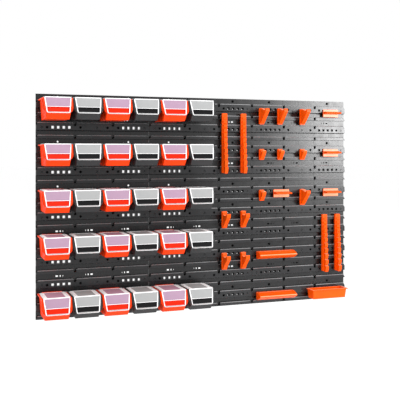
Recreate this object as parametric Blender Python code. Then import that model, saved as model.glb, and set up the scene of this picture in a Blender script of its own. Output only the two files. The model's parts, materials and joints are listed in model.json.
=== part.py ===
"""Workshop storage wall: six moulded rail panels, five rows of lidded bins and a set of plug-in holders.

Units inside the script are millimetres, turned to metres as each mesh is made.
The origin is the centre of the wall's flat back. +X is to the right as one faces the wall,
+Z is up and the front faces -Y. Side outlines are lists of (forward, down) points:
forward is the distance in front of the back plane, down is the distance below a datum.
"""

import math

import bmesh
import bpy
from mathutils import Matrix, Vector

MM = 0.001

# ---- Wall panels ----
PANEL_WIDTH = 400.0
PANELS_ACROSS = 3
RAIL_PITCH = 77.0
RAILS_PER_PANEL = 5
PANEL_HEIGHT = RAIL_PITCH * RAILS_PER_PANEL
WALL_WIDTH = PANEL_WIDTH * PANELS_ACROSS
THIRD = PANEL_WIDTH / 3
SHEET = 3.0            # thickness of the flat strips
RAIL_FACE = 12.0       # how far the rails stand off the back plane
LIP_THICK = 2.5
MAIN_LIP = 19.7        # top of the main lip below the top of its period
MAIN_END = 47.0
SECOND_LIP = 63.2
LIP_RISE = 7.0         # depth of the slot behind a lip
CAVITY = (30.0, 45.5)  # the hollow behind the main rail, below the top of the period
CAVITY_FRONT = 9.8
TONGUE = 6.0           # overlap of an upper panel behind the lower one
FIT = 0.4              # clearance between neighbouring pieces
SEAM = 0.8
CLIP_HEIGHT = 20.0     # joining clips across a seam
NOTCH_HALF = 3.0

# ---- Holes in the main rail ----
HOLE_PITCH = THIRD / 7
HOLES_PER_THIRD = 7    # every seventh place is the end of a third and has no hole
HOLE_DOWN = 37.0
HOLE_SIDE = 8.0
PEG_SIDE = 7.2
SCREW_INSET = 75.0
SCREW_DOWN = 9.5
SCREW_RADIUS = 3.0

# ---- Bins and lids ----
BINS_PER_ROW = 6
BIN_PITCH = 100.4
BIN_FIRST = 54.5                        # first bin's centre from the wall's left edge
BIN_OVER_LIP = 2.5                      # top of a bin above the lip that it hangs on
BIN_HEIGHT = 74.0
BIN_ROWS = (0, 2, 4, 6, 8)              # period that each row hangs in
ROW_SHIFT = (3.0, 3.0, 1.5, 0.0, 0.0)   # each row slides freely along its lip
BACK = RAIL_FACE + FIT                  # back plane of everything that hangs on the rails
BIN_WALL = 2.2
RIM_DOWN = 3.0
RIM_HALF = 49.4
RIM_HEIGHT = 4.0
BIN_TOP_FRONT = 118.5
BIN_NOSE = (134.5, 50.0)
BIN_FRONT_TOP = 33.0                    # top edge of the front wall
BIN_FLOOR_FRONT = 116.0
HINGE = (23.0, 6.5)                     # (forward, down) of the lid's axis
PIN_RADIUS = 1.7
LID_THICK = 2.4
LID_LIFT = 0.3
LID_BACK = 19.5
LID_TOP_FRONT = 121.0
LID_END_DOWN = 54.3
LID_EAR = (40.8, 27.5)                  # back of the lid: half width, and how far forward it stays narrow
LABEL_SLOT = (35.3, 48.0)
LABEL_HALF = 35.0

# ---- Plug-in holders: (hole number along the wall, period) ----
LARGE_HOOKS = ((44, 0), (48, 0), (53, 0), (53, 4))
SMALL_HOOKS = ((44, 2), (48, 2), (53, 2), (44, 4))
NOTCHED_HOOKS = ((36, 5), (40, 5), (36, 7), (40, 7))
SPANNER_RACKS = ((36, 0), (40, 0), (58, 5), (61, 5))
# ---- Wide holders: (left side from the wall's left edge, period) ----
SHORT_HOLDERS = ((1101.5, 0), (1101.5, 2), (1101.5, 4), (888.0, 4))
LONG_HOLDERS = ((817.3, 7), (817.3, 9))
PARTS_TRAY = (1030.8, 9)
HOOK_WIDTH = 20.0
SHORT_WIDTH = 65.0
LONG_WIDTH = 153.0
HOLDER_TOP = 33.0
TRAY_WIDTH = 152.6
TRAY_DEPTH = 50.0
TRAY_HEIGHT = 36.5
RACK_TOP = 55.5
RACK_LENGTH = 224.0
RACK_SLOTS = 11
PEG_MARGIN = 6.0

COLOURS = {
    "panel": ((0.020, 0.021, 0.023), 0.42),
    "bin_red": ((0.75, 0.035, 0.012), 0.30),
    "bin_black": ((0.015, 0.016, 0.018), 0.32),
    "lid": ((0.72, 0.72, 0.74), 0.25),
    "orange": ((0.95, 0.115, 0.006), 0.33),
}


def clear_scene():
    for obj in list(bpy.data.objects):
        bpy.data.objects.remove(obj, do_unlink=True)


def make_material(name):
    colour, roughness = COLOURS[name]
    material = bpy.data.materials.new(name)
    material.use_nodes = True
    shader = material.node_tree.nodes["Principled BSDF"]
    shader.inputs["Base Color"].default_value = (*colour, 1.0)
    shader.inputs["Roughness"].default_value = roughness
    shader.inputs["Metallic"].default_value = 0.0
    return material


# ---- Mesh building ----

def point(x, forward, down):
    """A place on the object, in metres, from millimetres right, forward and down."""
    return Vector((x * MM, -forward * MM, -down * MM))


def side_at(side, down):
    """A side's x: a number, or a function of the distance down where the side tapers."""
    return side(down) if callable(side) else side


def prism(outline, left, right):
    """A closed solid: a side outline of (forward, down) points carried from left to right."""
    shape = bmesh.new()
    ends = [[shape.verts.new(point(side_at(side, down), forward, down)) for forward, down in outline]
            for side in (left, right)]
    shape.faces.new(ends[0])
    shape.faces.new(ends[1])
    count = len(outline)
    for i in range(count):
        j = (i + 1) % count
        shape.faces.new((ends[0][i], ends[0][j], ends[1][j], ends[1][i]))
    bmesh.ops.recalc_face_normals(shape, faces=shape.faces)
    mesh = bpy.data.meshes.new("prism")
    shape.to_mesh(mesh)
    shape.free()
    return mesh


def block(left, right, back, front, top, bottom):
    return prism([(back, top), (front, top), (front, bottom), (back, bottom)], left, right)


def rod(left, right, forward, down, radius, sides):
    """A round bar along X."""
    turn = [2 * math.pi * (i + 0.5) / sides for i in range(sides)]
    return prism([(forward + radius * math.cos(a), down + radius * math.sin(a)) for a in turn],
                 left, right)


def bore(x, down, back, front, radius, sides=8):
    """A round cutter along Y."""
    shape = bmesh.new()
    bmesh.ops.create_cone(shape, cap_ends=True, segments=sides, radius1=radius * MM,
                          radius2=radius * MM, depth=(front - back) * MM)
    bmesh.ops.rotate(shape, verts=shape.verts, matrix=Matrix.Rotation(math.pi / 2, 3, "X"))
    bmesh.ops.translate(shape, verts=shape.verts, vec=point(x, (front + back) / 2, down))
    mesh = bpy.data.meshes.new("bore")
    shape.to_mesh(mesh)
    shape.free()
    return mesh


def together(meshes, shifts=None):
    """Several meshes in one, each moved by its own vector."""
    shape = bmesh.new()
    for i, mesh in enumerate(meshes):
        before = len(shape.verts)
        shape.from_mesh(mesh)
        shape.verts.ensure_lookup_table()
        if shifts:
            bmesh.ops.translate(shape, verts=shape.verts[before:], vec=shifts[i])
    mesh = bpy.data.meshes.new("group")
    shape.to_mesh(mesh)
    shape.free()
    return mesh


def boolean(body, others, operation):
    """The body joined with, or cut by, the others, one after another, as a new mesh."""
    target = bpy.data.objects.new("target", body)
    bpy.context.collection.objects.link(target)
    helpers = []
    for other in others:
        helper = bpy.data.objects.new("helper", other)
        helper.hide_render = True
        helper.display_type = "WIRE"
        bpy.context.collection.objects.link(helper)
        helpers.append(helper)
        modifier = target.modifiers.new("cut", "BOOLEAN")
        modifier.operation = operation
        modifier.solver = "EXACT"
        modifier.object = helper
    bpy.context.view_layer.update()
    graph = bpy.context.evaluated_depsgraph_get()
    result = bpy.data.meshes.new_from_object(target.evaluated_get(graph))
    for obj in helpers + [target]:
        bpy.data.objects.remove(obj, do_unlink=True)
    return result


def cut(body, cutters):
    return boolean(body, cutters, "DIFFERENCE")


def join(body, *others):
    return boolean(body, others, "UNION")


def add_node(name, mesh, material, right=0.0, down=0.0, forward=0.0):
    """One named sub-part; right and down are measured from the wall's top left corner."""
    node = bpy.data.objects.new(name, mesh)
    if not mesh.materials:
        mesh.materials.append(material)
    node.location = point(right - WALL_WIDTH / 2, forward, down - PANEL_HEIGHT)
    bpy.context.collection.objects.link(node)
    mesh.set_sharp_from_angle(angle=math.radians(35))
    mesh.shade_smooth()
    return node


# ---- Rail panels ----

def panel_outline(is_upper):
    """Side outline of one panel: strips, two lips to a period, and a hollow behind each main rail."""
    front, back = [], []
    slot_floor = MAIN_LIP + LIP_RISE
    lip_back = RAIL_FACE - LIP_THICK
    for i in range(RAILS_PER_PANEL):
        top = i * RAIL_PITCH
        front += [(SHEET, top), (SHEET, top + slot_floor), (lip_back, top + slot_floor),
                  (lip_back, top + MAIN_LIP), (RAIL_FACE, top + MAIN_LIP), (RAIL_FACE, top + MAIN_END),
                  (SHEET, top + MAIN_END + 2.5), (SHEET, top + SECOND_LIP + LIP_RISE),
                  (lip_back, top + SECOND_LIP + LIP_RISE), (lip_back, top + SECOND_LIP),
                  (RAIL_FACE, top + SECOND_LIP), (RAIL_FACE, top + RAIL_PITCH - 1)]
        back += [(0, top + CAVITY[0]), (CAVITY_FRONT, top + CAVITY[0]),
                 (CAVITY_FRONT, top + CAVITY[1]), (0, top + CAVITY[1])]
    half_sheet = SHEET / 2
    if is_upper:
        low = [(SHEET, PANEL_HEIGHT), (half_sheet - FIT / 2, PANEL_HEIGHT),
               (half_sheet - FIT / 2, PANEL_HEIGHT + TONGUE), (0, PANEL_HEIGHT + TONGUE)]
        high = [(0, 0)]
    else:
        front[0] = (SHEET, FIT)
        low = [(SHEET, PANEL_HEIGHT), (0, PANEL_HEIGHT)]
        high = [(0, TONGUE + FIT), (half_sheet + FIT / 2, TONGUE + FIT), (half_sheet + FIT / 2, FIT)]
    return front + low + back[::-1] + high


def hole_x(number):
    """Centre of a numbered hole in a main rail, from the wall's left edge."""
    return number * HOLE_PITCH


def peg_holes():
    """Every hole that a holder plugs into: (hole number, period)."""
    holes = list(LARGE_HOOKS + SMALL_HOOKS + NOTCHED_HOOKS)
    holes += [(number, period + step) for number, period in SPANNER_RACKS for step in (1, 2, 3)]
    for left, period in SHORT_HOLDERS:
        holes += [(number, period) for number in covered_holes(left, SHORT_WIDTH)]
    for left, period in LONG_HOLDERS:
        holes += [(number, period) for number in covered_holes(left, LONG_WIDTH)]
    holes += [(number, PARTS_TRAY[1]) for number in covered_holes(PARTS_TRAY[0], TRAY_WIDTH)]
    return holes


def covered_holes(left, width):
    """The first and the last hole that lie well behind a wide holder."""
    numbers = [n for n in range(1, round(WALL_WIDTH / HOLE_PITCH)) if n % HOLES_PER_THIRD
               and left + PEG_MARGIN <= hole_x(n) <= left + width - PEG_MARGIN]
    return numbers[0], numbers[-1]


def lip_notches():
    """Cutters that part the main lips at every third of a panel."""
    notches = []
    lip_back = RAIL_FACE - LIP_THICK
    for column in range(1, 3 * PANELS_ACROSS):
        x = column * THIRD
        for period in range(RAILS_PER_PANEL):
            top = period * RAIL_PITCH + MAIN_LIP
            notches.append(block(x - NOTCH_HALF, x + NOTCH_HALF, lip_back - 0.5, RAIL_FACE + 1,
                                 top - 1, top + LIP_RISE - 2))
    return together(notches)


def seam_slots(is_upper):
    """Cutters that part neighbouring panels, except at two joining clips on each seam."""
    clips = (RAIL_PITCH * 1.5, RAIL_PITCH * 3.5)
    stops = [-5.0]
    for clip in clips:
        stops += [clip - CLIP_HEIGHT / 2, clip + CLIP_HEIGHT / 2]
    stops.append(PANEL_HEIGHT + 10)
    slots = []
    for seam in range(1, PANELS_ACROSS):
        x = seam * PANEL_WIDTH
        for top, bottom in zip(stops[::2], stops[1::2]):
            slots.append(block(x - SEAM / 2, x + SEAM / 2, -1, RAIL_FACE + 1, top, bottom))
    return together(slots)


def screw_holes():
    """Four fixing holes through the flat strips of every panel."""
    holes = []
    for panel in range(PANELS_ACROSS):
        for inset in (SCREW_INSET, PANEL_WIDTH - SCREW_INSET):
            for period in (0, RAILS_PER_PANEL - 1):
                holes.append(bore(panel * PANEL_WIDTH + inset, period * RAIL_PITCH + SCREW_DOWN,
                                  -1, SHEET + 1, SCREW_RADIUS))
    return together(holes)


def square_holes(first_period):
    """Cutters for the square holes in use, in the periods of one row of panels."""
    half = HOLE_SIDE / 2
    holes = []
    for number, period in peg_holes():
        row = period - first_period
        if 0 <= row < RAILS_PER_PANEL:
            x, down = hole_x(number), row * RAIL_PITCH + HOLE_DOWN
            holes.append(block(x - half, x + half, CAVITY_FRONT - 1, RAIL_FACE + 1,
                               down - half, down + half))
    return together(holes)


def make_panels(material):
    """Two rows of three panels, each row joined by its seam clips."""
    for name, is_upper, first_period in (("panels_upper", True, 0),
                                         ("panels_lower", False, RAILS_PER_PANEL)):
        sheet = prism(panel_outline(is_upper), 0, WALL_WIDTH)
        sheet = cut(sheet, [lip_notches()])
        sheet = cut(sheet, [seam_slots(is_upper), screw_holes(), square_holes(first_period)])
        add_node(name, sheet, material, down=first_period * RAIL_PITCH)


# ---- Bins ----

def bin_side(inset):
    """Half width of a bin at a distance down, narrowing to the floor."""
    return lambda down: 44.0 - 5.0 * (down - RIM_DOWN) / 70.0 - inset


def opposite(side):
    return lambda down: -side(down)


def slant(down, start=BIN_TOP_FRONT):
    """How far forward the slanted front is at a distance down."""
    slope = (BIN_NOSE[0] - BIN_TOP_FRONT) / (BIN_NOSE[1] - RIM_DOWN)
    return start + slope * (down - RIM_DOWN)


def bin_shell():
    """The open hopper: sloping nose, front wall to half height, tapering sides."""
    outer = prism([(BACK, RIM_DOWN), (BIN_TOP_FRONT, RIM_DOWN), BIN_NOSE,
                   (BIN_FLOOR_FRONT, BIN_HEIGHT), (BACK, BIN_HEIGHT)],
                  opposite(bin_side(0)), bin_side(0))
    wall = BIN_WALL + 0.3
    floor = BIN_HEIGHT - BIN_WALL
    inner = prism([(BACK + wall, -2), (170, -2), (170, BIN_FRONT_TOP),
                   (slant(BIN_FRONT_TOP) - wall, BIN_FRONT_TOP), (BIN_NOSE[0] - wall - 0.4, 49.4),
                   (BIN_FLOOR_FRONT - 1, floor), (BACK + wall, floor)],
                  opposite(bin_side(BIN_WALL)), bin_side(BIN_WALL))
    return cut(outer, [inner])


def rim(sign):
    """The outward rim along the top of one side and down its slanted front."""
    low = BIN_NOSE[1] + 1
    outline = [(BACK, RIM_DOWN), (BIN_TOP_FRONT, RIM_DOWN), (slant(low), low),
               (slant(low) - RIM_HEIGHT - 0.5, low), (slant(RIM_DOWN + RIM_HEIGHT) - RIM_HEIGHT - 0.5,
                                                     RIM_DOWN + RIM_HEIGHT),
               (BACK, RIM_DOWN + RIM_HEIGHT)]
    inside = bin_side(1.2)
    if sign > 0:
        return prism(outline, inside, RIM_HALF)
    return prism(outline, -RIM_HALF, opposite(inside))


def hinge_notches():
    """Open slots in the sides, where the ends of the lid's rod sit."""
    half = PIN_RADIUS + 0.3
    bottom = HINGE[1] + half
    return together([block(sign * 45 - 6, sign * 45 + 6, HINGE[0] - half, HINGE[0] + half, -3, bottom)
                     for sign in (-1, 1)])


def hanging_strip():
    """The strip that hooks over a lip, along the backs of all the bins in a row."""
    outline = [(6.0, 0), (BACK + 2.4, 0), (BACK + 2.4, 6), (BACK, 6), (BACK, BIN_OVER_LIP - FIT),
               (9.1, BIN_OVER_LIP - FIT), (9.1, 8.5), (6.0, 8.5)]
    return prism(outline, -RIM_HALF, (BINS_PER_ROW - 1) * BIN_PITCH + RIM_HALF)


def bin_row_mesh():
    one = cut(join(bin_shell(), rim(-1), rim(1)), [hinge_notches()])
    shifts = [Vector((i * BIN_PITCH * MM, 0, 0)) for i in range(BINS_PER_ROW)]
    return join(together([one] * BINS_PER_ROW, shifts), hanging_strip())


def bin_row_down(row):
    """Top of a row of bins below the wall's top; the lowest row hangs on the second lip."""
    lip = SECOND_LIP if row == len(BIN_ROWS) - 1 else MAIN_LIP
    return BIN_ROWS[row] * RAIL_PITCH + lip - BIN_OVER_LIP


def colour_by_column(mesh, red, black):
    """Red and black bins take turns along a row."""
    mesh.materials.append(red)
    mesh.materials.append(black)
    for face in mesh.polygons:
        column = round(face.center.x / (BIN_PITCH * MM))
        face.material_index = max(0, min(BINS_PER_ROW - 1, column)) % 2


def make_bins(red, black):
    mesh = bin_row_mesh()
    colour_by_column(mesh, red, black)
    for row in range(len(BIN_ROWS)):
        add_node(f"bins_row_{row + 1}", mesh, red, right=BIN_FIRST + ROW_SHIFT[row],
                 down=bin_row_down(row))


# ---- Lids ----

def lid_half(down):
    return 44.6 - 0.12 * down


def lid_mesh():
    """A bent sheet over the top and the slanted front, with a label slot and a hinge rod.

    Its back end is narrow enough to turn down between the bin's sides.
    """
    drop = LID_END_DOWN - LID_LIFT
    slope = (BIN_NOSE[0] - BIN_TOP_FRONT) / (BIN_NOSE[1] - RIM_DOWN)
    length = math.hypot(slope, 1)
    normal = Vector((1 / length, -slope / length))
    under = LID_LIFT + LID_THICK
    end = Vector((LID_TOP_FRONT + slope * drop, LID_END_DOWN))
    end_inside = end - normal * LID_THICK
    corner = Vector((LID_TOP_FRONT, LID_LIFT)) - normal * LID_THICK
    corner_inside = (corner.x + slope * (under - corner.y), under)
    outline = [(LID_BACK, LID_LIFT), (LID_TOP_FRONT, LID_LIFT), tuple(end), tuple(end_inside),
               corner_inside, (LID_BACK, under)]
    sheet = prism(outline, opposite(lid_half), lid_half)
    slot = block(-LABEL_HALF, LABEL_HALF, LID_TOP_FRONT, LID_TOP_FRONT + 40, *LABEL_SLOT)
    corners = [block(left, left + 10, LID_BACK - 1, LID_EAR[1], -1, under + 1)
               for left in (-LID_EAR[0] - 10, LID_EAR[0])]
    sheet = cut(sheet, [together([slot] + corners)])
    rib = block(-40, 40, HINGE[0] - 1, HINGE[0] + 1, under - 0.5, HINGE[1])
    hinge_rod = rod(-43.0, 43.0, HINGE[0], HINGE[1], PIN_RADIUS, 8)
    sheet = join(sheet, join(rib, hinge_rod))
    sheet.transform(translation(-HINGE[0], -HINGE[1]))
    return sheet


def translation(forward, down):
    """A matrix that moves a mesh forward and down."""
    return Matrix.Translation(point(0, forward, down))


def make_lids(material):
    """One lid to a bin, its origin on its hinge axis."""
    mesh = lid_mesh()
    for row in range(len(BIN_ROWS)):
        for column in range(BINS_PER_ROW):
            add_node(f"lid_r{row + 1}_c{column + 1}", mesh, material,
                     right=BIN_FIRST + ROW_SHIFT[row] + column * BIN_PITCH,
                     forward=HINGE[0], down=bin_row_down(row) + HINGE[1])


# ---- Plug-in holders ----

def peg(x, down=HOLE_DOWN):
    """A square peg with a catch that turns up behind the rail."""
    half = PEG_SIDE / 2
    outline = [(BACK + 0.6, down - half), (CAVITY_FRONT - FIT, down - half),
               (CAVITY_FRONT - FIT, down - half - 2.6), (6.6, down - half - 2.6),
               (6.6, down + half), (BACK + 0.6, down + half)]
    return prism(outline, x - half, x + half)


def narrow_holder(name, outline, place, material, pegs=(HOLE_DOWN,)):
    """A holder one hole wide, centred on its peg."""
    number, period = place
    half = HOOK_WIDTH / 2
    body = join(prism(outline, -half, half), *[peg(0, down) for down in pegs])
    add_node(name, body, material, right=hole_x(number), down=period * RAIL_PITCH)


def large_hook_outline():
    """A deep gusset with a shallow seat and an upturned tip."""
    top = HOLDER_TOP
    return [(BACK, top), (32, top + 2), (46, top + 7), (57, top + 7), (64, top - 1), (70, top),
            (70, top + 12), (30, top + 56), (25, top + 61), (BACK, top + 61)]


def small_hook_outline():
    top = HOLDER_TOP
    return [(BACK, top), (24, top), (28, top + 10), (34, top + 11), (39, top + 6), (42, top + 8),
            (40, top + 16), (20, top + 39), (18, top + 41), (BACK, top + 41)]


def notched_hook_outline():
    top = HOLDER_TOP
    return [(BACK, top), (24, top), (25, top + 9), (34, top + 12), (48, top + 12), (57, top + 6),
            (63, top + 8), (62, top + 20), (32, top + 52), (30, top + 62), (BACK, top + 62)]


def rack_outline():
    """A spanner rack: upturned teeth on a spine, deeper and further apart towards the bottom."""
    outline = [(BACK, RACK_TOP), (19, RACK_TOP), (21, RACK_TOP + 4)]
    weights = [1 + 0.9 * i / (RACK_SLOTS - 1) for i in range(RACK_SLOTS)]
    scale = (RACK_LENGTH - 16) / sum(weights)
    down = RACK_TOP + 8
    for i, weight in enumerate(weights):
        share = i / (RACK_SLOTS - 1)
        reach = 24 + 20 * share
        seat = reach - 5.5 - 3 * share
        pitch = weight * scale
        outline += [(seat - 4, down), (seat, down + 0.42 * pitch), (reach - 2, down + 0.1 * pitch),
                    (reach, down + 0.3 * pitch), (reach - 2.5, down + 0.85 * pitch)]
        down += pitch
    outline += [(36, RACK_TOP + RACK_LENGTH), (BACK, RACK_TOP + RACK_LENGTH - 4)]
    return outline


def wide_pegs(left, width):
    return [peg(hole_x(number) - left) for number in covered_holes(left, width)]


def shelf_holder(name, place, width, nose, slots, material):
    """A wedge-shaped shelf, hollow underneath, with long slots through its sloping top."""
    left, period = place
    top = HOLDER_TOP
    outer = [(BACK, top), (nose, top + 6), (nose, top + 12), (24, top + 29), (BACK, top + 29)]
    inner = [(BACK + 2.2, top + 2.8), (nose - 2.2, top + 8.4), (nose - 2.2, top + 11),
             (22, top + 27), (22, top + 35), (BACK + 2.2, top + 35)]
    body = cut(prism(outer, 0, width), [prism(inner, 2.2, width - 2.2)])
    cutters = [block(10, width - 10, forward - 1.7, forward + 1.7, top - 5, top + 12)
               for forward in slots]
    body = cut(body, [together(cutters)])
    body = join(body, *wide_pegs(left, width))
    add_node(name, body, material, right=left, down=period * RAIL_PITCH)


def tray(material):
    """An open parts tray with a turned-out rim."""
    left, period = PARTS_TRAY
    top = HOLDER_TOP - 1
    middle = TRAY_WIDTH / 2
    bottom = top + TRAY_HEIGHT
    front = BACK + TRAY_DEPTH

    def side(sign, inset):
        return lambda down: middle + sign * (middle - 4 - inset - 4 * (down - top) / TRAY_HEIGHT)

    outer = prism([(BACK, top), (front - 4, top), (front - 8, bottom), (BACK, bottom)],
                  side(-1, 0), side(1, 0))
    inner = prism([(BACK + 2, top - 3), (front - 5.7, top - 3), (front - 10, bottom - 2),
                   (BACK + 2, bottom - 2)], side(-1, 2), side(1, 2))
    flange = block(0, TRAY_WIDTH, BACK, front, top, top + 2.5)
    body = join(cut(join(outer, flange), [inner]), *wide_pegs(left, TRAY_WIDTH))
    add_node("parts_tray", body, material, right=left, down=period * RAIL_PITCH)


def make_holders(material):
    for i, place in enumerate(LARGE_HOOKS, 1):
        narrow_holder(f"large_hook_{i}", large_hook_outline(), place, material)
    for i, place in enumerate(SMALL_HOOKS, 1):
        narrow_holder(f"small_hook_{i}", small_hook_outline(), place, material)
    for i, place in enumerate(NOTCHED_HOOKS, 1):
        narrow_holder(f"notched_hook_{i}", notched_hook_outline(), place, material)
    rack_pegs = [HOLE_DOWN + RAIL_PITCH * step for step in (1, 2, 3)]
    for i, place in enumerate(SPANNER_RACKS, 1):
        narrow_holder(f"spanner_rack_{i}", rack_outline(), place, material, rack_pegs)
    for i, place in enumerate(SHORT_HOLDERS, 1):
        shelf_holder(f"short_holder_{i}", place, SHORT_WIDTH, 40.0, (24,), material)
    for i, place in enumerate(LONG_HOLDERS, 1):
        shelf_holder(f"long_holder_{i}", place, LONG_WIDTH, 50.0, (24, 38), material)
    tray(material)


def main():
    clear_scene()
    materials = {name: make_material(name) for name in COLOURS}
    make_panels(materials["panel"])
    make_bins(materials["bin_red"], materials["bin_black"])
    make_lids(materials["lid"])
    make_holders(materials["orange"])


main()
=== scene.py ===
"""Looks of a workshop storage wall: rail panels, lidded bins and plug-in holders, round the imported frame.

Sizes are millimetres, turned to metres as each mesh is made. Outlines are lists of (forward, down) points:
forward is the distance in front of the wall's flat back, down is the distance below the piece's own datum.
"""
import json
import math

import bmesh
import bpy
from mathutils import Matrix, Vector


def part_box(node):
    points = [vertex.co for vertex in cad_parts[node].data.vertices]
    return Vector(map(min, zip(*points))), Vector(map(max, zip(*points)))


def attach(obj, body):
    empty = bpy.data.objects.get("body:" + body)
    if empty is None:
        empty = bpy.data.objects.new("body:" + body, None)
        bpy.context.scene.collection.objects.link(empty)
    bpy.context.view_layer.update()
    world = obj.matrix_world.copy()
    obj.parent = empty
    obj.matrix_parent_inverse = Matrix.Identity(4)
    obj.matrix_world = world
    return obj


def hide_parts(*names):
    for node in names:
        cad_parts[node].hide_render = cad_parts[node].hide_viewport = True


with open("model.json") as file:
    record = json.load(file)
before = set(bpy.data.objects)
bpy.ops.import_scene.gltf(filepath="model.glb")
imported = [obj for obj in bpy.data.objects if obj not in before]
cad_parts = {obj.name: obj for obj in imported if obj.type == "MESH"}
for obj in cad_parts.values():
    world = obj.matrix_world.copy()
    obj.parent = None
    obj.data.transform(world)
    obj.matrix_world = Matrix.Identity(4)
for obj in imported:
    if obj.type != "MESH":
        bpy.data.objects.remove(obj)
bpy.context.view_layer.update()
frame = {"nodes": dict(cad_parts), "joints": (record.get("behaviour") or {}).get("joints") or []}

MM = 0.001

# ---- Rail panels ----
# Each panel repeats one period downwards: strip, lip, rail face, strip, second lip and rail face.
PANEL_WIDTH = 400.0
PANELS_ACROSS = 3
PERIOD = 77.0
PERIODS = 5
PANEL_HEIGHT = PERIOD * PERIODS
THIRD = PANEL_WIDTH / 3
SEAM_HALF = 0.4
SHEET = 3.0
RAIL_FACE = 12.0
LIP_THICK = 2.5
LIP_RISE = 7.0
MAIN_LIP = 19.7
MAIN_END = 47.0
SECOND_LIP = 63.2
TONGUE = 6.0
FIT = 0.4
SKIN = 2.2
# Holes along a rail keep to places a seventh of a third apart.
PLACE = THIRD / 7
LIP_CHAMFER = (1.8, 2.6)
FOOT_SLOPE = 2.5
RAIL_GAP = 1.0
THROUGH = RAIL_FACE + 1

# Hollows in the back: (top, bottom) below the top of a period.
STRIP_POCKETS = ((8.5, 26.0), (51.0, 69.0))
STRIP_POCKET_DEPTH = 1.2
RAIL_POCKET = (29.0, 45.0)
LIP_POCKET = (71.6, 74.6)
SOCKET_HALF = 5.6
RIB_HALF = 2.5
SINK_CLEARANCE = 4.5

# Holes in the rails. A square socket is open to the back up to OPEN_UP_TO along the wall.
HOLE_DOWN = 37.0
HOLE_HALF = 4.5
LAST_SQUARES = (2, 2, 1)
OPEN_UP_TO = 1.4 * PANEL_WIDTH
SOCKET_BACK = 6.5
ROUND_HOLE = 4.4
ROUND_BACK = 5.0
CRESCENT = (3.8, 2.2)
CRESCENT_BACK = 7.0
NARROW_HALF = 2.2
NARROW_HEIGHT = 3.6

# Holes in the flat strips, and what interrupts the lips.
SCREW_PLACES = (75.0, 325.0)
SCREW_OPEN = 3.2
SCREW_BLIND = 4.8
COUNTERSINK = 6.4
SCORE = 0.5
# Clusters of slots, each slot as (offset, half width, half height), mirrored where the side is -1.
CLUSTER_PLACES = (84.0, 181.0, 311.0)
CLUSTER_SIDES = (-1, 1, 1)
CLUSTER_SLOTS = ((12.0, 4.2, 2.6), (0.0, 1.9, 2.8), (-9.0, 0.9, 2.6))
STRIP_MIDDLE = 9.5
BLIND = 1.8
NOTCH_HALF = 4.4
NOTCH_DEPTH = 9.5
NOTCH_RADIUS = 5.0
SINK_RADIUS = 4.0
SINK_DOWN = 9.0

# ---- Bins and lids ----
BACK = 12.4
BIN_WALL = 2.2
BIN_HALF = 44.0
BIN_DRAFT = 5.0 / 70.0
BIN_HEIGHT = 74.0
RIM_DOWN = 3.0
RIM_HALF = 49.4
RIM_HEIGHT = 4.0
TOP_FRONT = 118.5
NOSE = (134.5, 50.0)
SLOPE = (NOSE[0] - TOP_FRONT) / (NOSE[1] - RIM_DOWN)
FLOOR_FRONT = 116.0
FRONT_TOP = 33.0
OVER_LIP = 2.5
HINGE = (23.0, 6.5)
PIN_RADIUS = 1.7
LID_TOP = 0.3
LID_BACK = 19.5
LID_FRONT = 121.0
LID_END = 54.3
LID_EAR = (40.8, 27.5)
LID_BORDER = 3.0
LID_THICK = 2.3
LID_CORNER = 6.0
LABEL_SLOT = (33.8, 50.2)
LABEL_HALF = 36.5
LABEL_RIM = 1.4
STRIP_INNER = 30.0
STRIP_OUTER = 40.5
DOT_HALF = 1.7
DOT_PLACES = (36, 56, 76, 96)

# ---- Plug-in holders ----
HOLDER_TOP = 33.0
PLATE_HALF = 10.0
RIB_WIDE = 7.5
RIB_NARROW = 6.0
PEG_SIDE = 7.2
PEG_TOP = 30.8
PEG_BACK = 6.6
RACK_TOP = 55.5
RACK_LENGTH = 224.0
RACK_TEETH = 11
# One tooth's points as (distance back from its reach, share of its pitch).
TOOTH = ((7.0, 0.30), (6.0, 0.46), (1.0, 0.38), (0.0, 0.5), (1.5, 0.98))


# ---- Mesh building ----

def point(x, forward, down):
    return Vector((x * MM, -forward * MM, -down * MM))


def side_at(side, down):
    return side(down) if callable(side) else side


def opposite(side):
    return lambda down: -side_at(side, down)


def solid(ends):
    """A closed mesh between two matching loops of points."""
    shape = bmesh.new()
    loops = [[shape.verts.new(p) for p in end] for end in ends]
    shape.faces.new(loops[0])
    shape.faces.new(loops[1])
    count = len(loops[0])
    for i in range(count):
        j = (i + 1) % count
        shape.faces.new((loops[0][i], loops[0][j], loops[1][j], loops[1][i]))
    bmesh.ops.recalc_face_normals(shape, faces=shape.faces)
    mesh = bpy.data.meshes.new("solid")
    shape.to_mesh(mesh)
    shape.free()
    return mesh


def prism(outline, left, right):
    """A side outline of (forward, down) points carried from left to right."""
    return solid([[point(side_at(side, down), forward, down) for forward, down in outline]
                  for side in (left, right)])


def slab(outline, back, front):
    """A front outline of (x, down) points carried from back to front."""
    return solid([[point(x, forward, down) for x, down in outline] for forward in (back, front)])


def block(left, right, back, front, top, bottom):
    return prism([(back, top), (front, top), (front, bottom), (back, bottom)], left, right)


def circle(x, down, radius, sides=12):
    return [(x + radius * math.cos(2 * math.pi * (i + 0.5) / sides),
             down + radius * math.sin(2 * math.pi * (i + 0.5) / sides)) for i in range(sides)]


def arc(x, down, radius, start, end, steps):
    """Points along an arc in degrees, 0 to the right and 90 downwards."""
    angles = [math.radians(start + (end - start) * i / steps) for i in range(steps + 1)]
    return [(x + radius * math.cos(a), down + radius * math.sin(a)) for a in angles]


def rounded_box(left, right, top, bottom, radius, steps=4):
    return (arc(right - radius, top + radius, radius, -90, 0, steps)
            + arc(right - radius, bottom - radius, radius, 0, 90, steps)
            + arc(left + radius, bottom - radius, radius, 90, 180, steps)
            + arc(left + radius, top + radius, radius, 180, 270, steps))


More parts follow.
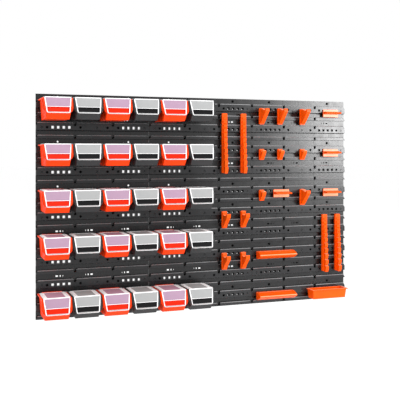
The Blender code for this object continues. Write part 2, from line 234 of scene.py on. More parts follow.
def crescent(x, down, outer, inner):
    """A C-shaped outline, open to the left."""
    return arc(x, down, outer, -140, 140, 12) + arc(x, down, inner, 140, -140, 10)


def together(meshes):
    shape = bmesh.new()
    for mesh in meshes:
        shape.from_mesh(mesh)
    mesh = bpy.data.meshes.new("group")
    shape.to_mesh(mesh)
    shape.free()
    return mesh


def modified(mesh, *settings):
    """The mesh with modifiers applied, each given as (kind, {property: value})."""
    target = bpy.data.objects.new("target", mesh)
    bpy.context.scene.collection.objects.link(target)
    for kind, values in settings:
        modifier = target.modifiers.new(kind, kind)
        for key, value in values.items():
            setattr(modifier, key, value)
    graph = bpy.context.evaluated_depsgraph_get()
    graph.update()
    result = bpy.data.meshes.new_from_object(target.evaluated_get(graph),
                                             preserve_all_data_layers=True, depsgraph=graph)
    bpy.data.objects.remove(target, do_unlink=True)
    return result


def boolean(body, other, operation):
    helper = bpy.data.objects.new("helper", other)
    bpy.context.scene.collection.objects.link(helper)
    result = modified(body, ("BOOLEAN", {"operation": operation, "solver": "EXACT", "object": helper}))
    bpy.data.objects.remove(helper, do_unlink=True)
    return result


def cut(body, *cutters):
    return boolean(body, together(cutters), "DIFFERENCE")


def join(body, *others):
    for other in others:
        body = boolean(body, other, "UNION")
    return body


def eased(mesh, width, segments=2, edge_slot=1):
    """Every sharp edge rounded; the rounding takes the material of its own slot."""
    mesh.materials.clear()
    mesh = modified(mesh, ("BEVEL", {"width": width * MM, "segments": segments, "limit_method": "ANGLE",
                                     "angle_limit": math.radians(30), "material": edge_slot,
                                     "use_clamp_overlap": True}))
    mesh.shade_smooth()
    mesh.set_sharp_from_angle(angle=math.radians(40))
    return modified(mesh, ("WEIGHTED_NORMAL", {"keep_sharp": True, "weight": 100}))


def paint(mesh, *materials):
    """Material slots, set so that face indices stay as they are."""
    indices = [face.material_index for face in mesh.polygons]
    mesh.materials.clear()
    for material in materials:
        mesh.materials.append(material)
    for face, index in zip(mesh.polygons, indices):
        face.material_index = min(index, len(materials) - 1)
    return mesh


def add(name, mesh, place, body, slot, *nodes):
    """One piece of the visual model, riding on a body and standing for CAD nodes."""
    piece = bpy.data.objects.new(name, mesh)
    piece.location = place
    bpy.context.scene.collection.objects.link(piece)
    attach(piece, body)
    if nodes:
        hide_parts(*nodes)
    return piece


# ---- Materials ----

CLOUD_SCALE = 14.0
SHEEN_SCALE = 45.0
SHEEN_SPREAD = 0.07
GRAIN_SCALE = 1500.0
GRAIN_HEIGHT = 0.12 * MM


def plastic(name, colour, light, roughness, grain=0.4, alpha=1.0, specular=0.5):
    """Moulded plastic: cloudy colour, uneven sheen and a fine moulded grain."""
    material = bpy.data.materials.new(name)
    material.use_nodes = True
    tree = material.node_tree
    shader = tree.nodes["Principled BSDF"]
    place = tree.nodes.new("ShaderNodeTexCoord")

    def noise(scale, detail):
        node = tree.nodes.new("ShaderNodeTexNoise")
        node.inputs["Scale"].default_value = scale
        node.inputs["Detail"].default_value = detail
        tree.links.new(place.outputs["Object"], node.inputs["Vector"])
        return node.outputs["Fac"]

    clouds = noise(CLOUD_SCALE, 3.0)
    tint = tree.nodes.new("ShaderNodeMix")
    tint.data_type = "RGBA"
    tint.inputs["A"].default_value = (*colour, 1.0)
    tint.inputs["B"].default_value = (*light, 1.0)
    tree.links.new(clouds, tint.inputs["Factor"])
    tree.links.new(tint.outputs["Result"], shader.inputs["Base Color"])

    sheen = tree.nodes.new("ShaderNodeMapRange")
    sheen.inputs["To Min"].default_value = roughness - SHEEN_SPREAD
    sheen.inputs["To Max"].default_value = roughness + SHEEN_SPREAD
    tree.links.new(noise(SHEEN_SCALE, 4.0), sheen.inputs["Value"])
    tree.links.new(sheen.outputs["Result"], shader.inputs["Roughness"])

    bump = tree.nodes.new("ShaderNodeBump")
    bump.inputs["Strength"].default_value = grain
    bump.inputs["Distance"].default_value = GRAIN_HEIGHT
    tree.links.new(noise(GRAIN_SCALE, 2.0), bump.inputs["Height"])
    tree.links.new(bump.outputs["Normal"], shader.inputs["Normal"])

    shader.inputs["Alpha"].default_value = alpha
    shader.inputs["Specular IOR Level"].default_value = specular
    return material


PANEL = plastic("panel_plastic", (0.008, 0.0083, 0.009), (0.018, 0.0184, 0.020),
                roughness=0.25, grain=0.1, specular=0.36)
# Painted highlight: lighter grey on every rounded edge of the panels.
PANEL_BEVEL_HIGHLIGHT = plastic("panel_bevel_highlight", (0.05, 0.05, 0.053), (0.09, 0.09, 0.095),
                     roughness=0.30, grain=0.1)
# Painted shade: the sunk strips between the rails are coloured darker than the rails.
PANEL_SUNK_SHADE = plastic("panel_sunk_shade", (0.003, 0.0031, 0.0035), (0.007, 0.0072, 0.008),
                      roughness=0.27, grain=0.15, specular=0.40)
# Painted shade: near-black floors in the holes, sockets and sinks.
PANEL_HOLLOW_SHADE = plastic("panel_hollow_shade", (0.001, 0.001, 0.001), (0.003, 0.003, 0.003),
                     roughness=0.8, specular=0.02)
# Painted highlight: light grey on the upward faces of the lips.
LIP_TOP_HIGHLIGHT = plastic("lip_top_highlight", (0.09, 0.09, 0.095), (0.26, 0.26, 0.265),
                    roughness=0.28, grain=0.1)
RED = plastic("bin_red", (0.82, 0.034, 0.001), (0.92, 0.055, 0.002),
              roughness=0.36, grain=0.2, specular=0.12)
# Painted highlight: a lighter pinkish red on the rounded edges of the red bins.
RED_BEVEL_HIGHLIGHT = plastic("bin_red_bevel_highlight", (0.98, 0.16, 0.07), (1.0, 0.26, 0.14),
                   roughness=0.28, grain=0.1, specular=0.3)
# Painted shade: darker red in the label recess under the lid's slot.
RED_LABEL_SHADE = plastic("bin_red_label_shade", (0.60, 0.012, 0.001), (0.70, 0.020, 0.001),
                   roughness=0.4, grain=0.2, specular=0.08)
BLACK = plastic("bin_black", (0.014, 0.0145, 0.0155), (0.026, 0.0265, 0.028),
                roughness=0.40, grain=0.3, specular=0.32)
# Painted highlight: a lighter grey on the rounded edges of the black bins.
BLACK_BEVEL_HIGHLIGHT = plastic("bin_black_bevel_highlight", (0.06, 0.062, 0.065), (0.10, 0.102, 0.105),
                     roughness=0.28, grain=0.1)
# Painted shade: near-black in the label recess under the lid's slot.
BLACK_LABEL_SHADE = plastic("bin_black_label_shade", (0.003, 0.003, 0.0035), (0.006, 0.006, 0.0065),
                     roughness=0.5, grain=0.2, specular=0.1)
ORANGE = plastic("holder_orange", (0.80, 0.065, 0.001), (0.92, 0.105, 0.001),
                 roughness=0.30, grain=0.1, specular=0.12)
# Painted highlight: a lighter orange on the holders' rounded edges, upward faces and glare stripes.
ORANGE_HIGHLIGHT = plastic("holder_orange_highlight", (1.0, 0.25, 0.10), (1.0, 0.37, 0.20),
                      roughness=0.30, grain=0.1, specular=0.3)
LID_EDGE = plastic("lid_edge", (0.90, 0.90, 0.91), (0.96, 0.96, 0.96),
                   roughness=0.4, grain=0.05, specular=0.12)
LID_LILAC = plastic("lid_over_red", (0.33, 0.205, 0.295), (0.46, 0.32, 0.42),
                    roughness=0.30, grain=0.2, alpha=0.86, specular=0.2)
LID_GREY = plastic("lid_over_black", (0.29, 0.295, 0.30), (0.42, 0.425, 0.42),
                   roughness=0.30, grain=0.2, alpha=0.86, specular=0.2)
# Painted light: the upward faces of the lid windows take a lighter, less glossy copy of the tint.
LID_LIT_TOP_RED = plastic("lid_lit_top_over_red", (0.46, 0.24, 0.33), (0.58, 0.35, 0.44),
                      roughness=0.5, alpha=0.9, specular=0.05)
LID_LIT_TOP_BLACK = plastic("lid_lit_top_over_black", (0.34, 0.34, 0.34), (0.46, 0.46, 0.46),
                        roughness=0.5, alpha=0.9, specular=0.05)


# ---- Rail panels ----

def panel_outline(is_upper):
    """One period after another: sunk strip, long lip, rail face, sunk strip, short lip and rail face."""
    front = []
    lip_back = RAIL_FACE - LIP_THICK
    for i in range(PERIODS):
        top = i * PERIOD
        front += [(SHEET, top), (SHEET, top + MAIN_LIP + LIP_RISE), (lip_back, top + MAIN_LIP + LIP_RISE),
                  (lip_back, top + MAIN_LIP), (RAIL_FACE - LIP_CHAMFER[0], top + MAIN_LIP),
                  (RAIL_FACE, top + MAIN_LIP + LIP_CHAMFER[1]), (RAIL_FACE, top + MAIN_END),
                  (SHEET, top + MAIN_END + FOOT_SLOPE), (SHEET, top + SECOND_LIP + LIP_RISE),
                  (lip_back, top + SECOND_LIP + LIP_RISE), (lip_back, top + SECOND_LIP),
                  (RAIL_FACE - LIP_CHAMFER[0], top + SECOND_LIP),
                  (RAIL_FACE, top + SECOND_LIP + LIP_CHAMFER[1]), (RAIL_FACE, top + PERIOD - RAIL_GAP)]
    half_sheet = SHEET / 2
    if is_upper:
        return front + [(SHEET, PANEL_HEIGHT), (half_sheet - FIT / 2, PANEL_HEIGHT),
                        (half_sheet - FIT / 2, PANEL_HEIGHT + TONGUE), (0, PANEL_HEIGHT + TONGUE), (0, 0)]
    front[0] = (SHEET, FIT)
    return front + [(SHEET, PANEL_HEIGHT), (0, PANEL_HEIGHT), (0, TONGUE + FIT),
                    (half_sheet + FIT / 2, TONGUE + FIT), (half_sheet + FIT / 2, FIT)]


def back_pockets():
    """Hollows behind the rails and strips, parted by ribs and by the sockets behind the square holes."""
    pockets = []
    for i in range(PERIODS):
        top = i * PERIOD
        for third in range(3):
            left = third * THIRD
            for k in range(7):
                pockets.append(block(left + k * PLACE + SOCKET_HALF, left + (k + 1) * PLACE - SOCKET_HALF,
                                     -1, RAIL_FACE - SKIN, top + RAIL_POCKET[0], top + RAIL_POCKET[1]))
            for half in range(2):
                start = left + half * THIRD / 2 + RIB_HALF
                end = left + (half + 1) * THIRD / 2 - RIB_HALF
                for upper, lower in STRIP_POCKETS:
                    pockets.append(block(start, end, -1, STRIP_POCKET_DEPTH, top + upper, top + lower))
                pockets.append(block(start + SINK_CLEARANCE, end - SINK_CLEARANCE, -1, RAIL_FACE - SKIN,
                                     top + LIP_POCKET[0], top + LIP_POCKET[1]))
    return pockets


def rail_holes(column):
    """Along every main rail: four square sockets at each end, round blind holes and C-shaped slots."""
    holes = []
    last = LAST_SQUARES[column]
    squares = {0: range(3, 7), 1: (), 2: range(last, last + 4)}
    rounds = {0: (2,), 1: (1, 6), 2: (5,) if last == 1 else (1,)}
    slots = {0: (1,), 1: (4,), 2: (6,)}
    for i in range(PERIODS):
        down = i * PERIOD + HOLE_DOWN
        for third in range(3):
            for k in squares[third]:
                x = third * THIRD + k * PLACE
                square = rounded_box(x - HOLE_HALF, x + HOLE_HALF, down - HOLE_HALF, down + HOLE_HALF,
                                     0.6, 2)
                back = -1 if column * PANEL_WIDTH + x < OPEN_UP_TO else SOCKET_BACK
                holes.append(slab(square, back, THROUGH))
            for k in rounds[third]:
                x = third * THIRD + k * PLACE
                holes.append(slab(circle(x, down, ROUND_HOLE), ROUND_BACK, THROUGH))
            for k in slots[third]:
                x = third * THIRD + k * PLACE
                holes.append(slab(crescent(x, down, *CRESCENT), CRESCENT_BACK, THROUGH))
    return holes


def narrow_slots(column):
    """Small ways on through the sockets that are closed further in."""
    last = LAST_SQUARES[column]
    places = [k * PLACE for k in range(3, 7)] + [2 * THIRD + k * PLACE for k in range(last, last + 4)]
    slots = []
    for i in range(PERIODS):
        top = i * PERIOD + HOLE_DOWN
        for x in places:
            if column * PANEL_WIDTH + x >= OPEN_UP_TO:
                slot = rounded_box(x - NARROW_HALF, x + NARROW_HALF, top, top + NARROW_HEIGHT, 0.8, 2)
                slots.append(slab(slot, -1, SOCKET_BACK + 1))
    return slots


def strip_holes(column):
    """Screw holes in every other period, and clusters of small slots in the rest."""
    holes = []
    for i in range(PERIODS):
        down = i * PERIOD + STRIP_MIDDLE
        if i % 2 == 0:
            for x in SCREW_PLACES:
                is_open = column * PANEL_WIDTH + x < OPEN_UP_TO
                radius, back = (SCREW_OPEN, -1) if is_open else (SCREW_BLIND, BLIND)
                holes.append(slab(circle(x, down, radius), back, SHEET + 1))
        else:
            back = -1 if column < 2 else BLIND
            for x, side in zip(CLUSTER_PLACES, CLUSTER_SIDES):
                for offset, wide, tall in CLUSTER_SLOTS:
                    middle = x + side * offset
                    slot = rounded_box(middle - wide, middle + wide, down - tall, down + tall, 0.7, 2)
                    holes.append(slab(slot, back, SHEET + 1))
    return holes


def countersinks():
    """Shallow wide rings round the screw holes."""
    return [slab(circle(x, i * PERIOD + STRIP_MIDDLE, COUNTERSINK, 16), SHEET - SCORE, SHEET + 1)
            for i in range(0, PERIODS, 2) for x in SCREW_PLACES]


def notch_outline(x, down):
    """A U-shaped gap in a lip with rounded shoulders."""
    outer = NOTCH_HALF + NOTCH_RADIUS
    left = arc(x - outer, down + NOTCH_RADIUS, NOTCH_RADIUS, -90, 0, 5)
    right = arc(x + outer, down + NOTCH_RADIUS, NOTCH_RADIUS, 180, 270, 5)
    floor = [(x - NOTCH_HALF, down + NOTCH_DEPTH), (x + NOTCH_HALF, down + NOTCH_DEPTH)]
    return [(x - outer, down - 1)] + left + floor + right + [(x + outer, down - 1)]


def lip_notches():
    notches = []
    for i in range(PERIODS):
        for lip in (MAIN_LIP, SECOND_LIP):
            for k in range(4):
                notches.append(slab(notch_outline(k * THIRD, i * PERIOD + lip),
                                    RAIL_FACE - LIP_THICK - 0.5, THROUGH))
    return notches


def notch_sinks():
    """A round blind hole below each notch that is clear of the panel's ends."""
    return [slab(circle(k * THIRD, i * PERIOD + lip + SINK_DOWN, SINK_RADIUS), ROUND_BACK, THROUGH)
            for i in range(PERIODS) for lip in (MAIN_LIP, SECOND_LIP) for k in (1, 2)]


def score_lines():
    """Fine upright grooves across the flat strips."""
    lines = []
    for i in range(PERIODS):
        top = i * PERIOD
        for k in range(1, 6):
            x = k * THIRD / 2
            for start, end in ((top + 1, top + 18), (top + 50.5, top + 62)):
                lines.append(block(x - SCORE, x + SCORE, SHEET - SCORE, SHEET + 1, start, end))
    return lines


def paint_panel_shade_and_highlights(mesh):
    """Faces take their material from where they lie: the rail's own colour, a painted highlight on the
    edges and lip tops, and painted shade on the sunk strips and hole floors.
    """
    paint(mesh, PANEL, PANEL_BEVEL_HIGHLIGHT, PANEL_SUNK_SHADE, PANEL_HOLLOW_SHADE, LIP_TOP_HIGHLIGHT)
    for face in mesh.polygons:
        forward = -face.center.y / MM
        # Painted shade on front faces set back behind the lips; painted highlight on the lip tops.
        if face.normal.y < -0.9 and forward < RAIL_FACE - LIP_THICK - 0.5:
            face.material_index = 2 if SHEET - SCORE - 0.1 < forward < SHEET + 0.5 else 3
        elif face.normal.z > 0.3 and forward > RAIL_FACE - LIP_THICK - 0.5:
            face.material_index = 4
    return mesh


def panel_mesh(is_upper, column):
    body = prism(panel_outline(is_upper), SEAM_HALF, PANEL_WIDTH - SEAM_HALF)
    body = cut(body, *back_pockets())
    body = cut(body, *rail_holes(column), *strip_holes(column))
    body = cut(body, *lip_notches(), *countersinks(), *score_lines())
    body = cut(body, *notch_sinks(), *narrow_slots(column))
    return paint_panel_shade_and_highlights(eased(body, 0.5))


def make_panels():
    for node, is_upper in (("panels_upper", True), ("panels_lower", False)):
        low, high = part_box(node)
        top = high.z if is_upper else low.z + PANEL_HEIGHT * MM
        for column in range(PANELS_ACROSS):
            add(f"panel_{'upper' if is_upper else 'lower'}_{column + 1}", panel_mesh(is_upper, column),
                Vector((low.x + column * PANEL_WIDTH * MM, 0, top)), "wall", "panel_plastic", node)


# ---- Bins ----

def bin_side(inset):
    return lambda down: BIN_HALF - BIN_DRAFT * (down - RIM_DOWN) - inset


def slant(down, start=TOP_FRONT):
    return start + SLOPE * (down - RIM_DOWN)


def rim_half(down):
    """The rim runs straight down the front and turns in to the side at its lower end."""
    share = min(1, max(0, (down - 38) / 13))
    return RIM_HALF - (RIM_HALF - bin_side(0)(down) - 1.5) * share ** 2


def rim(sign):
    """The flange along one side's top and down its front, for the left (-1) or the right (1)."""
    downs = (38, 42, 46, 49, 51)
    outline = ([(BACK, RIM_DOWN), (TOP_FRONT, RIM_DOWN)] + [(slant(d), d) for d in downs]
               + [(slant(d) - RIM_HEIGHT, d) for d in downs[::-1]]
               + [(slant(RIM_DOWN + RIM_HEIGHT) - RIM_HEIGHT, RIM_DOWN + RIM_HEIGHT),
                  (BACK, RIM_DOWN + RIM_HEIGHT)])
    sides = (bin_side(1.2), rim_half) if sign > 0 else (lambda d: -rim_half(d), opposite(bin_side(1.2)))
    return prism(outline, *sides)


def sorted_sides(sign):
    """The inner and outer face of a side rib, left one first."""
    if sign > 0:
        return bin_side(1), bin_side(-1.2)
    return opposite(bin_side(-1.2)), opposite(bin_side(1))


def side_rib(sign, forward):
    return prism([(forward, RIM_DOWN + 5), (forward + 2.4, RIM_DOWN + 5), (forward + 2.4, BIN_HEIGHT - 1),
                  (forward, BIN_HEIGHT - 1)], *sorted_sides(sign))


def bin_mesh():
    """An open-front bin with hinge slots, side ribs, the hook that hangs it and a shallow label recess."""
    outer = prism([(BACK, RIM_DOWN), (TOP_FRONT, RIM_DOWN), NOSE, (FLOOR_FRONT, BIN_HEIGHT),
                   (BACK, BIN_HEIGHT)], opposite(bin_side(0)), bin_side(0))
    wall, floor = BIN_WALL + 0.3, BIN_HEIGHT - BIN_WALL
    inner = prism([(BACK + wall, -2), (170, -2), (170, FRONT_TOP), (slant(FRONT_TOP) - wall, FRONT_TOP),
                   (NOSE[0] - wall - 0.4, NOSE[1] - 0.6), (FLOOR_FRONT - 1, floor), (BACK + wall, floor)],
                  opposite(bin_side(BIN_WALL)), bin_side(BIN_WALL))
    body = join(cut(outer, inner), rim(-1), rim(1))
    half = PIN_RADIUS + 0.3
    slots = [block(sign * 45 - 6, sign * 45 + 6, HINGE[0] - half, HINGE[0] + half, -3, HINGE[1] + half)
             for sign in (-1, 1)]
    body = cut(body, *slots)
    ribs = [side_rib(sign, forward) for sign in (-1, 1) for forward in (40, 74, 108)]
    hook = prism([(6.0, 0), (BACK + 2.4, 0), (BACK + 2.4, 6), (BACK, 6), (BACK, OVER_LIP - FIT),
                  (9.1, OVER_LIP - FIT), (9.1, 8.5), (6.0, 8.5)], -34, 34)
    top = LABEL_SLOT[0] + 0.6
    bottom = LABEL_SLOT[1] - 0.4
    label = prism([(slant(top) - 0.8, top), (slant(top) + 6, top), (slant(bottom) + 6, bottom),
                   (slant(bottom) - 0.8, bottom)], -LABEL_HALF, LABEL_HALF)
    body = eased(cut(join(body, hook, *ribs), label), 0.8)
    # Painted shade: the floor of the label recess takes the darker slot 2.
    for face in body.polygons:
        across = abs(face.center.x) / MM
        down = -face.center.z / MM
        sunk = slant(down) + face.center.y / MM
        if face.normal.y < -0.8 and across < LABEL_HALF and top < down < bottom and 0.5 < sunk < 1.1:
            face.material_index = 2
    return body


def lid_places():
    """Each lid's name, row, column and its bin's datum, above the hinge axis at the bin's top, on y = 0."""
    for joint in frame["joints"]:
        lid = joint["child"]
        row, column = (int(part[1:]) for part in lid.split("_")[1:])
        x, _, z = joint["pos_m"]
        yield lid, row, column, Vector((x, 0, z + HINGE[1] * MM))


def make_bins():
    red = paint(bin_mesh(), RED, RED_BEVEL_HIGHLIGHT, RED_LABEL_SHADE)
    black = paint(red.copy(), BLACK, BLACK_BEVEL_HIGHLIGHT, BLACK_LABEL_SHADE)
    for _, row, column, datum in lid_places():
        is_red = column % 2 == 1
        add(f"bin_r{row}_c{column}", red if is_red else black, datum, "wall",
            "bin_red" if is_red else "bin_black", f"bins_row_{row}")


# ---- Lids ----

def lid_half(down):
    return 44.6 - 0.12 * down


def lid_front(down, inset=0.0):
    return LID_FRONT + SLOPE * (down - LID_TOP) - inset


def bent(inset, thick, start, end):
    """A side outline that follows the lid's top and front, from start forward to end down."""
    outside = LID_TOP + inset
    inside = outside + thick
    return [(start, outside), (lid_front(outside, inset), outside), (lid_front(end, inset), end),
            (lid_front(end, inset + thick), end), (lid_front(inside, inset + thick), inside),
            (start, inside)]


def front_bar(top, bottom, thick):
    """A bar across the lid's slanted front, between two heights."""
    return prism([(lid_front(top), top), (lid_front(bottom), bottom), (lid_front(bottom, thick), bottom),
                  (lid_front(top, thick), top)], opposite(lid_half), lid_half)


def front_corners():
    """Cutters that round the two lower corners of the lid's front."""
    half = lid_half(LID_END)
    cutters = []
    for sign in (-1, 1):
        curve = arc(half - LID_CORNER + 0.3, LID_END - LID_CORNER, LID_CORNER, 0, 90, 6)
        outline = [(half + 8, LID_END + 3), (half + 8, LID_END - LID_CORNER), *curve,
                   (half - LID_CORNER, LID_END + 3)]
        cutters.append(slab([(sign * x, down) for x, down in outline], LID_FRONT, LID_FRONT + 40))
    return cutters


def lid_window():
    """The frosted sheet, with the label slot cut out."""
    sheet = prism(bent(0.7, 1.5, LID_BACK, LID_END - 0.7), opposite(lid_half), lid_half)
    slot = block(-LABEL_HALF, LABEL_HALF, LID_FRONT, LID_FRONT + 40, *LABEL_SLOT)
    corners = [block(left, left + 12, LID_BACK - 1, LID_EAR[1], -1, 6)
               for left in (-LID_EAR[0] - 12, LID_EAR[0])]
    return cut(sheet, slot, *corners)


def lid_frame():
    """The polished border as one mesh, and the separate pieces: hinge rod, rear bar and top strips."""
    def inner(down):
        return lid_half(down) - LID_BORDER

    left = prism(bent(0, LID_THICK, LID_EAR[1], LID_END), opposite(lid_half), opposite(inner))
    right = prism(bent(0, LID_THICK, LID_EAR[1], LID_END), inner, lid_half)
    below_slot = front_bar(LABEL_SLOT[1] + 0.5, LID_END, LID_THICK)
    above_slot = front_bar(LABEL_SLOT[0] - LABEL_RIM, LABEL_SLOT[0], 2.0)
    edge = prism(bent(0, LID_THICK, LID_FRONT - 2.8, LID_TOP + 2.6), opposite(lid_half), lid_half)
    border = cut(join(left, right, below_slot, above_slot, edge), *front_corners())
    rod = prism(circle(*HINGE, PIN_RADIUS, 16), -43, 43)
    rib = block(-40, 40, HINGE[0] - 1, HINGE[0] + 1, 2.0, HINGE[1])
    bar = block(-LID_EAR[0], LID_EAR[0], LID_BACK, LID_BACK + 2.5, LID_TOP, LID_TOP + LID_THICK)
    strips = [top_strip(-STRIP_OUTER, -STRIP_INNER), top_strip(STRIP_INNER, STRIP_OUTER)]
    return border, [join(rib, rod), bar] + strips


def top_strip(left, right):
    """A milky strip beside the top window, pierced by two rows of square dots."""
    strip = block(left, right, LID_BACK + 1, LID_FRONT - 2, LID_TOP + 0.1, LID_TOP + 1.2)
    dots = [block(x - DOT_HALF, x + DOT_HALF, forward, forward + 2 * DOT_HALF, -2, 5)
            for x in (left + 3, right - 3) for forward in DOT_PLACES]
    return cut(strip, *dots)


def lid_mesh(window, lit_top_window):
    """Window faces in slots 0 (front) and 2 (top, a lighter copy of the tint as painted light), polished
    faces in slot 1.
    """
    sheet = paint(lid_window(), window, LID_EDGE, lit_top_window)
    # Painted light: the upward faces near the top take the lighter top tint.
    for face in sheet.polygons:
        if abs(face.normal.z) > 0.9 and face.center.z > -4 * MM:
            face.material_index = 2
    border, others = lid_frame()
    shape = bmesh.new()
    shape.from_mesh(sheet)
    count = len(shape.faces)
    shape.from_mesh(eased(border, 0.5))
    for other in others:
        shape.from_mesh(eased(other, 0.3))
    shape.faces.ensure_lookup_table()
    for face in shape.faces[count:]:
        face.material_index = 1
    mesh = bpy.data.meshes.new("lid")
    shape.to_mesh(mesh)
    shape.free()
    for material in (window, LID_EDGE, lit_top_window):
        mesh.materials.append(material)
    mesh.set_sharp_from_angle(angle=math.radians(40))
    return mesh


def make_lids():
    over_red = lid_mesh(LID_LILAC, LID_LIT_TOP_RED)
    over_black = lid_mesh(LID_GREY, LID_LIT_TOP_BLACK)
    for lid, row, column, datum in lid_places():
        add(f"cover_r{row}_c{column}", over_red if column % 2 == 1 else over_black, datum, lid,
            "lid_clear", lid)


# ---- Plug-in holders ----

def peg(down):
    """A square peg with an upturned tip that catches behind the rail's face."""
    half = PEG_SIDE / 2
    front = RAIL_FACE - SKIN - FIT
    root = BACK + 0.6
    tip = PEG_TOP + down - HOLE_DOWN
    return prism([(root, down - half), (front, down - half), (front, tip), (PEG_BACK, tip),
                  (PEG_BACK, down + half), (root, down + half)], -half, half)


def large_hook():
    """The side outline of a deep gusset with a dip behind its tip."""
    top = HOLDER_TOP
    return [(BACK, top + 0.6), (32, top + 2), (48, top + 7), (58, top + 9), (64, top + 4), (68, top + 3),
            (70, top + 6), (70, top + 14), (27, top + 56), (BACK, top + 58)]


def small_hook():
    """The side outline of a short peg with a raised tip."""
    top = HOLDER_TOP
    return [(BACK, top + 1), (22, top + 2), (27, top + 8), (34, top + 9), (39, top + 5), (42, top + 7),
            (41, top + 16), (22, top + 38), (BACK, top + 39)]


def notched_hook():
    """The side outline of a hook with a deep notch between its back and its tip."""
    top = HOLDER_TOP
    return [(BACK, top + 2), (24, top + 3), (27, top + 13), (38, top + 15), (52, top + 13), (58, top + 7),
            (63, top + 7), (63, top + 20), (32, top + 50), (27, top + 59), (BACK, top + 60)]


def rack_outline():
    """A rib that grows deeper downwards, with drooping saw-teeth of growing pitch down its front."""
    outline = [(BACK, RACK_TOP + 3), (20, RACK_TOP + 3), (24, RACK_TOP + 8)]
    weights = [1 + 0.9 * i / (RACK_TEETH - 1) for i in range(RACK_TEETH)]
    scale = (RACK_LENGTH - 20) / sum(weights)
    down = RACK_TOP + 9
    for i, weight in enumerate(weights):
        reach = 27 + 17 * i / (RACK_TEETH - 1)
        pitch = weight * scale
        outline += [(reach - back, down + share * pitch) for back, share in TOOTH]
        down += pitch
    return outline + [(38, RACK_TOP + RACK_LENGTH - 2), (BACK, RACK_TOP + RACK_LENGTH - 4)]


def backed_holder(outline, top, bottom, rib_half, plate_front, pegs=(HOLE_DOWN,)):
    """A back plate with rounded corners, a rib or arm standing out of its middle, and its pegs."""
    plate = slab(rounded_box(-PLATE_HALF, PLATE_HALF, top, bottom, 3.0), BACK, plate_front)
    body = join(plate, prism(outline, -rib_half, rib_half))
    return join(eased(body, 0.9, 3), *[peg(down) for down in pegs])


def shelf_holder(width, nose, slots):
    """A back plate with a tapered shelf at mid-height and long slots through the shelf."""
    top = HOLDER_TOP
    plate = slab(rounded_box(0, width, top, top + 29, 2.0), BACK, BACK + 5)
    shelf = prism([(BACK + 1, top + 8), (nose - 8, top + 9.5), (nose - 2, top + 11), (nose, top + 13.5),
                   (nose - 2, top + 16), (nose - 8, top + 17), (BACK + 1, top + 18)], 1, width)
    body = join(plate, shelf)
    body = cut(body, *[block(10, width - 10, forward - 1.8, forward + 1.8, top - 5, top + 32)
                       for forward in slots])
    body = eased(body, 0.6, 3)
    # Painted reflection: the front of the back plate takes the lighter orange.
    for face in body.polygons:
        if face.normal.y < -0.9 and -face.center.y < (BACK + 6) * MM:
            face.material_index = 1
    return body


def wedge_holder(width, nose, slots):
    """A long wedge with a blunt nose, hollow underneath, and long slots through its top."""
    top = HOLDER_TOP
    outer = [(BACK, top), (28, top + 1), (nose - 5, top + 8), (nose - 1, top + 11), (nose, top + 14),
             (nose - 2, top + 17), (27, top + 28), (BACK, top + 29)]
    inner = [(BACK + 2.2, top + 2.8), (27, top + 3.6), (nose - 7, top + 11.5), (nose - 6, top + 14),
             (25, top + 26), (25, top + 35), (BACK + 2.2, top + 35)]
    body = cut(prism(outer, 0, width), prism(inner, 2.2, width - 2.2))
    body = cut(body, *[block(10, width - 10, forward - 1.7, forward + 1.7, top - 5, top + 12)
                       for forward in slots])
    body = eased(body, 1.0, 3)
    # Painted highlight: upward faces near the nose and near the back take the lighter orange as two
    # stripes.
    for face in body.polygons:
        forward = -face.center.y / MM
        if face.normal.z > 0.3 and (forward > nose - 3 or forward < 22):
            face.material_index = 1
    return body


def tray_mesh(width, depth, height):
    """An open tray with drafted sides and a turned-out rim."""
    top = HOLDER_TOP - 1
    bottom = top + height
    middle = width / 2
    front = BACK + depth

    def side(sign, inset):
        return lambda down: middle + sign * (middle - 4 - inset - 4 * (down - top) / height)

    outer = prism([(BACK, top), (front - 4, top), (front - 8, bottom), (BACK, bottom)],
                  side(-1, 0), side(1, 0))
    inner = prism([(BACK + 2, top - 3), (front - 5.7, top - 3), (front - 10, bottom - 2),
                   (BACK + 2, bottom - 2)], side(-1, 2), side(1, 2))
    flange = block(0, width, BACK, front, top, top + 3.2)
    return eased(cut(join(outer, flange), inner), 1.1, 3)


def holder_shapes():
    top = HOLDER_TOP
    rack_end = RACK_TOP + RACK_LENGTH - 3
    rack_pegs = [HOLE_DOWN + PERIOD * i for i in (1, 2, 3)]
    return {
        "large_hook": backed_holder(large_hook(), top, top + 61, RIB_WIDE, BACK + 7),
        "small_hook": backed_holder(small_hook(), top, top + 41, RIB_WIDE, BACK + 6),
        "notched_hook": backed_holder(notched_hook(), top, top + 62, RIB_WIDE, BACK + 8),
        "spanner_rack": backed_holder(rack_outline(), RACK_TOP, rack_end, RIB_NARROW, BACK + 11, rack_pegs),
        "short_holder": shelf_holder(65.0, 45.0, (24,)),
        "long_holder": wedge_holder(153.0, 52.0, (24, 38)),
        "parts_tray": tray_mesh(152.6, 50.0, 36.5),
    }


def make_holders():
    """One mesh for each kind, painted, and placed at every CAD node of that kind."""
    shapes = holder_shapes()
    for kind, mesh in shapes.items():
        paint(mesh, ORANGE, ORANGE_HIGHLIGHT)
        # Painted highlight: the upward faces of the hooks and the tray take the lighter orange.
        for face in mesh.polygons:
            if ("hook" in kind or kind == "parts_tray") and face.normal.z > 0.7:
                face.material_index = 1
    centred = ("large_hook", "small_hook", "notched_hook", "spanner_rack")
    for node in sorted(frame["nodes"]):
        kind = node if node in shapes else node.rsplit("_", 1)[0]
        if kind not in shapes:
            continue
        low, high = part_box(node)
        x = (low.x + high.x) / 2 if kind in centred else low.x
        datum = high.z + (RACK_TOP if kind == "spanner_rack" else PEG_TOP) * MM
        add(f"piece_{node}", shapes[kind], Vector((x, 0, datum)), "wall", "holder_orange", node)


# ---- Studio ----

FLOOR_HALF = 40.0
FLOOR_LEVEL = -0.75
CAMERA_PLACE = (-0.923, -2.539, 0.182)
CAMERA_YAW = 19.91
CAMERA_LENS = 65.97
CAMERA_SHIFT = -0.117


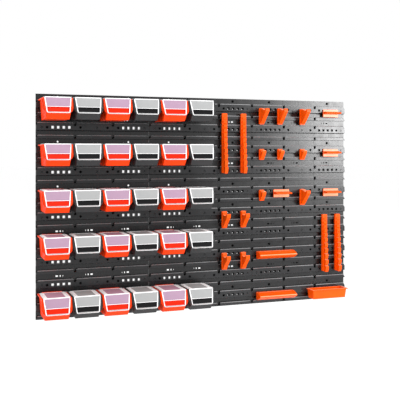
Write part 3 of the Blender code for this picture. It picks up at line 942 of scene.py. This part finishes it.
def make_floor():
    mesh = bpy.data.meshes.new("floor")
    corners = [(x * FLOOR_HALF, y * FLOOR_HALF, FLOOR_LEVEL)
               for x, y in ((-1, -1), (1, -1), (1, 1), (-1, 1))]
    mesh.from_pydata(corners, [], [(0, 1, 2, 3)])
    floor = bpy.data.objects.new("floor", mesh)
    bpy.context.scene.collection.objects.link(floor)
    material = bpy.data.materials.new("floor_white")
    material.use_nodes = True
    shader = material.node_tree.nodes["Principled BSDF"]
    shader.inputs["Base Color"].default_value = (1.0, 1.0, 1.0, 1)
    shader.inputs["Roughness"].default_value = 0.9
    mesh.materials.append(material)


def softbox(name, place, target, width, height, power):
    """A rectangular light facing its target: sizes in metres, power in watts."""
    light = bpy.data.lights.new(name, "AREA")
    light.shape = "RECTANGLE"
    light.size, light.size_y = width, height
    light.energy = power
    lamp = bpy.data.objects.new(name, light)
    lamp.location = place
    lamp.rotation_euler = (Vector(target) - Vector(place)).to_track_quat("-Z", "Y").to_euler()
    bpy.context.scene.collection.objects.link(lamp)


def make_lights():
    world = bpy.data.worlds.new("studio")
    world.use_nodes = True
    world.node_tree.nodes["Background"].inputs["Color"].default_value = (1, 1, 1, 1)
    world.node_tree.nodes["Background"].inputs["Strength"].default_value = 1.0
    bpy.context.scene.world = world
    # The glare box sits where the right of the wall mirrors it to the camera.
    softbox("key", (-0.6, -2.3, 2.2), (0, 0, 0), 1.4, 1.4, 26)
    softbox("glare", (1.85, -2.0, 0.42), (0.5, 0, 0.25), 0.6, 0.75, 48)
    softbox("overhead", (0.0, -0.8, 2.2), (0, -0.05, 0), 2.2, 0.6, 10)
    softbox("left_fill", (-2.6, -0.9, 0.35), (0.1, 0, 0), 1.2, 1.2, 12)


def make_camera():
    data = bpy.data.cameras.new("camera")
    data.lens = CAMERA_LENS
    data.sensor_width = 36.0
    data.shift_y = CAMERA_SHIFT
    camera = bpy.data.objects.new("camera", data)
    camera.location = CAMERA_PLACE
    camera.rotation_euler = (math.radians(90), 0, -math.radians(CAMERA_YAW))
    bpy.context.scene.collection.objects.link(camera)
    bpy.context.scene.camera = camera


bpy.context.scene.view_settings.view_transform = "Standard"
make_panels()
make_bins()
make_lids()
make_holders()
make_floor()
make_lights()
make_camera()
